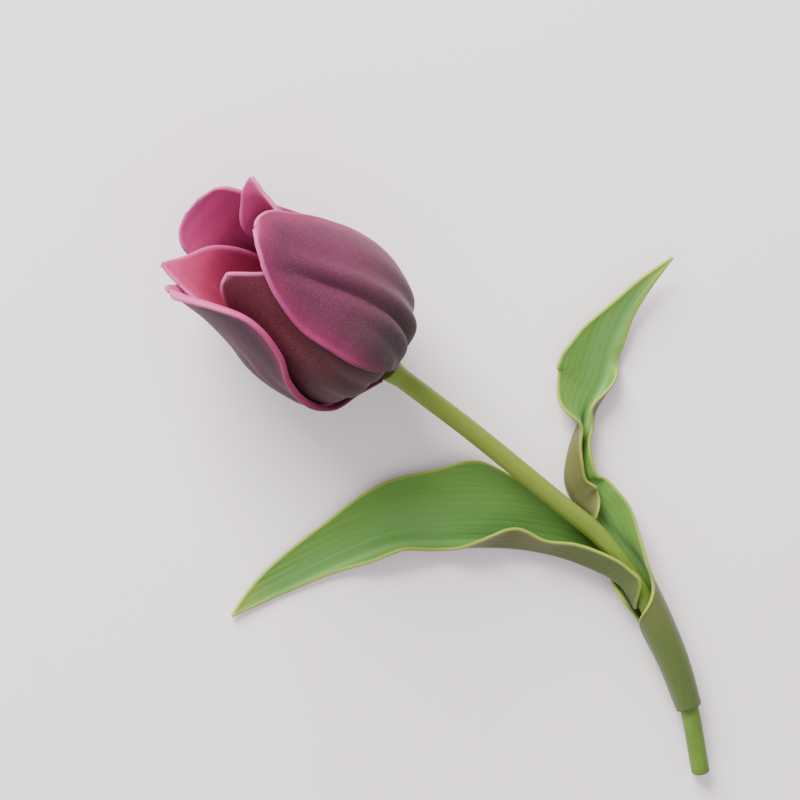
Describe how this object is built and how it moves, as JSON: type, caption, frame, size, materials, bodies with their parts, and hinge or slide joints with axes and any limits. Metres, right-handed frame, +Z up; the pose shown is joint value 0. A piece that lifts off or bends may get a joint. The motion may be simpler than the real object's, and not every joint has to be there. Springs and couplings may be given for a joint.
{
  "type": "tulip flower",
  "caption": "Single cut tulip lying on a surface: closed cup of overlapping petals on a bare stem, with long clasping leaves folded along their length.",
  "frame": {"origin": "on the supporting surface, under the middle of the flower's bounding box", "axes": "+X from the cut end of the stem towards the flower, +Z up from the surface, +Y to the side of the longer, wider leaf"},
  "size_m": [0.2116, 0.1434, 0.0465],
  "materials": {
    "outer_petals": "velvety dusky purple petal, pink rim, grey-green foot",
    "inner_petals": "velvety rose petal, dark red towards the foot",
    "stem": "smooth matte yellow-green stalk",
    "leaves": "matte green leaf with parallel veins and a pale bloom",
    "pistil": "matte pale green ovary, cream stigma",
    "filaments": "smooth dark purple stalk",
    "anthers": "powdery near-black anther"
  },
  "bodies": {
    "root": {"petal_outer_front": "outer_petals", "petal_outer_low": "outer_petals", "petal_outer_back": "outer_petals", "petal_inner_front": "inner_petals", "petal_inner_top": "inner_petals", "petal_inner_low": "inner_petals", "stem": "stem", "leaf_left": "leaves", "leaf_right": "leaves", "pistil": "pistil", "filament_1": "filaments", "anther_1": "anthers", "filament_2": "filaments", "anther_2": "anthers", "filament_3": "filaments", "anther_3": "anthers", "filament_4": "filaments", "anther_4": "anthers", "filament_5": "filaments", "anther_5": "anthers", "filament_6": "filaments", "anther_6": "anthers"}
  },
  "joints": []
}
